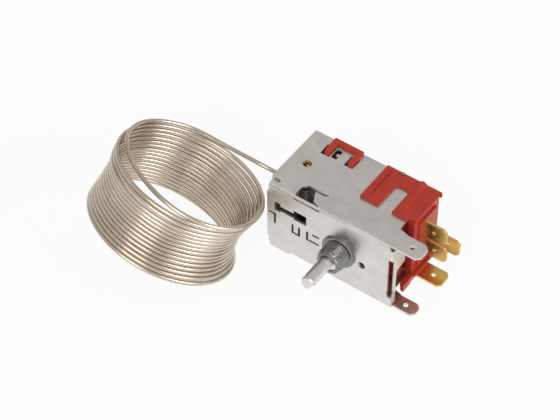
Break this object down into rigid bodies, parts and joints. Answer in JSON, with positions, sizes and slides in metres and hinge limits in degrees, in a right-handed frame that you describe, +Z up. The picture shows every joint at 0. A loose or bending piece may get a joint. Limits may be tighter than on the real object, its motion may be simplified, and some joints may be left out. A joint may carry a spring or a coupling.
{
  "type": "capillary temperature control switch",
  "caption": "Folded steel channel with a threaded bush and D spindle, a red moulded snap switch with brass push-on tabs, and a wound capillary sensor tube on its left end.",
  "frame": {"origin": "where the bush axis meets the panel's seat, the front of the bush's base ring", "axes": "+X to the right along the front face, towards the tabs; +Y into the body; +Z up, so the spindle points along -Y and the bottom plate faces -Z"},
  "size_m": [0.1035, 0.0725, 0.0455],
  "materials": {
    "plated_steel": "zinc plated",
    "bright_steel": "turned and nickel plated",
    "pin_steel": "ground",
    "lever_steel": "stamped, zinc plated",
    "spring_steel": "drawn wire",
    "brass": "rolled",
    "contact_silver": "satin",
    "red_moulding": "moulded, slightly glossy",
    "white_moulding": "moulded",
    "capillary_tube": "tinned, drawn"
  },
  "bodies": {
    "case": {"frame_channel": "plated_steel", "end_plate": "plated_steel", "element_cup": "plated_steel", "diaphragm": "plated_steel", "capillary_ferrule": "capillary_tube", "capillary_lead": "capillary_tube", "capillary_coil": "capillary_tube", "threaded_bush": "bright_steel", "follower_pin": "pin_steel", "lever_pin": "pin_steel", "switch_housing": "red_moulding", "back_clip": "red_moulding", "back_pin": "pin_steel", "terminal_upper": "brass", "terminal_common": "brass", "terminal_rear": "brass", "terminal_lower": "brass", "blade_root": "brass", "fixed_contact_upper": "contact_silver", "fixed_contact_lower": "contact_silver"},
    "spindle_set": {"spindle": "bright_steel", "cam": "white_moulding", "spindle_clip": "bright_steel"},
    "follower_set": {"follower_lever": "lever_steel", "range_screw": "brass", "spring_plug": "spring_steel", "main_spring": "spring_steel"},
    "lever_set": {"main_lever": "lever_steel", "spring_anchor": "spring_steel"},
    "stud_set": {"pressure_stud": "pin_steel"},
    "push_pin_set": {"push_pin": "white_moulding"},
    "blade_set": {"contact_blade": "brass", "moving_contact": "contact_silver", "snap_spring": "spring_steel"}
  },
  "joints": [
    {"name": "spindle_turn", "type": "hinge", "parent": "case", "child": "spindle_set", "pos_m": [0, 0.0007, 0], "axis": [0, 1, 0], "range_deg": [0, 280]},
    {"name": "follower_tilt", "type": "hinge", "parent": "case", "child": "follower_set", "pos_m": [-0.013, 0.0127, 0.0103], "axis": [0, -1, 0], "range_deg": [0, 7], "deforming": ["main_spring"]},
    {"name": "lever_tilt", "type": "hinge", "parent": "case", "child": "lever_set", "pos_m": [-0.0234, 0.0137, -0.0106], "axis": [0, 1, 0], "range_deg": [0, 1], "stiffness_Nm_per_rad": 0.05, "springref_deg": -5.73},
    {"name": "stud_slide", "type": "slide", "parent": "case", "child": "stud_set", "axis": [1, 0, 0], "range_m": [0, 0.00026]},
    {"name": "push_pin_slide", "type": "slide", "parent": "case", "child": "push_pin_set", "axis": [0, 0, -1], "range_m": [0, 0.00055]},
    {"name": "blade_tilt", "type": "hinge", "parent": "case", "child": "blade_set", "pos_m": [0.0098, 0.0139, -0.0032], "axis": [0, -1, 0], "range_deg": [0, 8]}
  ],
  "couplings": [
    {"joint": "follower_tilt", "follows": "spindle_turn", "ratio": 0.02361},
    {"joint": "stud_slide", "follows": "lever_tilt", "m_per_rad": 0.0133},
    {"joint": "push_pin_slide", "follows": "lever_tilt", "m_per_rad": 0.0294},
    {"joint": "blade_tilt", "follows": "lever_tilt", "ratio": 7.7}
  ]
}
